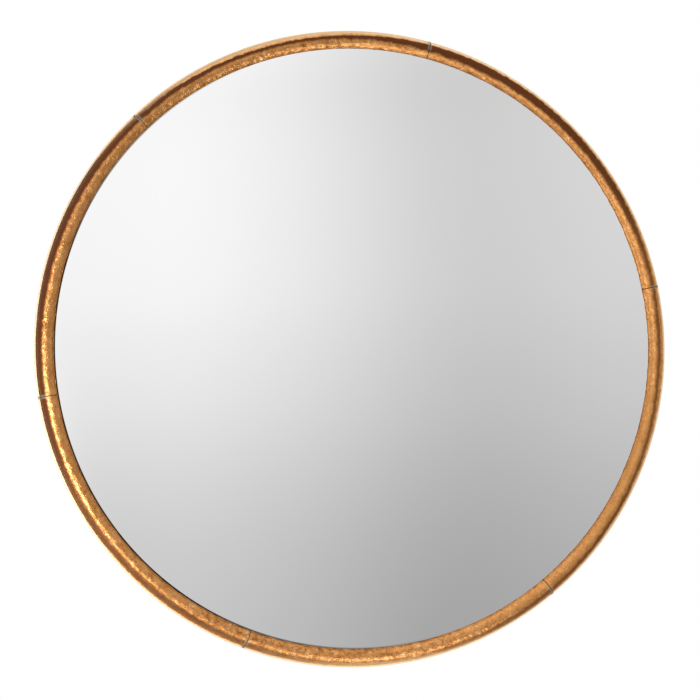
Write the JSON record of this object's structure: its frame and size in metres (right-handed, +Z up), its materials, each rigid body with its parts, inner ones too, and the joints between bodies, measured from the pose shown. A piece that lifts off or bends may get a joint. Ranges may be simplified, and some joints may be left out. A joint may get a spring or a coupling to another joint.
{
  "type": "convex butler's mirror",
  "caption": "Round convex wall mirror in a slim gilded bead frame, with a buttoned backing board and ring hangers behind.",
  "frame": {"origin": "centre of the round frame on the plane of the wall that the mirror hangs on", "axes": "+Z up, -Y out of the wall towards the viewer, +X to the viewer's right"},
  "size_m": [0.8, 0.0788, 0.8],
  "materials": {
    "gilded_wood": "antiqued gold leaf, rubbed through to red bole in places, on a turned wooden bead",
    "dowel_beech": "plain beech dowel",
    "silvered_glass": "convex glass silvered on its back",
    "black_felt": "black felt",
    "packer_rubber": "black rubber",
    "grey_foam": "closed-cell foam",
    "board_mdf": "bare fibreboard",
    "brass_button": "pressed brass, slightly dull",
    "brass_screw": "brass, slightly dull",
    "hanger_steel": "zinc-plated steel",
    "bumper_rubber": "dark rubber"
  },
  "bodies": {
    "mirror": {"frame_segment_1": "gilded_wood", "frame_segment_2": "gilded_wood", "frame_segment_3": "gilded_wood", "frame_segment_4": "gilded_wood", "frame_segment_5": "gilded_wood", "frame_segment_6": "gilded_wood", "joint_dowels": "dowel_beech", "mirror_glass": "silvered_glass", "rebate_felt": "black_felt", "edge_packers": "packer_rubber", "foam_packing_ring": "grey_foam", "backing_board": "board_mdf", "turn_button_screw_1": "brass_screw", "turn_button_screw_2": "brass_screw", "turn_button_screw_3": "brass_screw", "turn_button_screw_4": "brass_screw", "turn_button_screw_5": "brass_screw", "turn_button_screw_6": "brass_screw", "hanger_strap_right": "hanger_steel", "hanger_screws_right": "hanger_steel", "hanger_strap_left": "hanger_steel", "hanger_screws_left": "hanger_steel", "wall_bumper_1": "bumper_rubber", "wall_bumper_2": "bumper_rubber", "wall_bumper_3": "bumper_rubber", "wall_bumper_4": "bumper_rubber"},
    "turn_button_1": {"turn_button_1": "brass_button"},
    "turn_button_2": {"turn_button_2": "brass_button"},
    "turn_button_3": {"turn_button_3": "brass_button"},
    "turn_button_4": {"turn_button_4": "brass_button"},
    "turn_button_5": {"turn_button_5": "brass_button"},
    "turn_button_6": {"turn_button_6": "brass_button"},
    "hanger_ring_right": {"hanger_ring_right": "hanger_steel"},
    "hanger_ring_left": {"hanger_ring_left": "hanger_steel"}
  },
  "joints": [
    {"name": "turn_button_1_turn", "type": "hinge", "parent": "mirror", "child": "turn_button_1", "pos_m": [0.28228, -0.006, 0.27022], "axis": [0, 1, 0], "continuous": true},
    {"name": "turn_button_2_turn", "type": "hinge", "parent": "mirror", "child": "turn_button_2", "pos_m": [-0.09949, -0.006, 0.37789], "axis": [0, 1, 0], "continuous": true},
    {"name": "turn_button_3_turn", "type": "hinge", "parent": "mirror", "child": "turn_button_3", "pos_m": [-0.37058, -0.006, 0.12399], "axis": [0, 1, 0], "continuous": true},
    {"name": "turn_button_4_turn", "type": "hinge", "parent": "mirror", "child": "turn_button_4", "pos_m": [-0.30131, -0.006, -0.24882], "axis": [0, 1, 0], "continuous": true},
    {"name": "turn_button_5_turn", "type": "hinge", "parent": "mirror", "child": "turn_button_5", "pos_m": [0.06584, -0.006, -0.38518], "axis": [0, 1, 0], "continuous": true},
    {"name": "turn_button_6_turn", "type": "hinge", "parent": "mirror", "child": "turn_button_6", "pos_m": [0.3687, -0.006, -0.12948], "axis": [0, 1, 0], "continuous": true},
    {"name": "hanger_ring_right_swing", "type": "hinge", "parent": "mirror", "child": "hanger_ring_right", "pos_m": [0.3282, -0.0034, 0.21142], "axis": [0.866, 0, 0.5], "range_deg": [0, 175]},
    {"name": "hanger_ring_left_swing", "type": "hinge", "parent": "mirror", "child": "hanger_ring_left", "pos_m": [-0.3282, -0.0034, 0.21142], "axis": [0.866, 0, -0.5], "range_deg": [0, 175]}
  ]
}
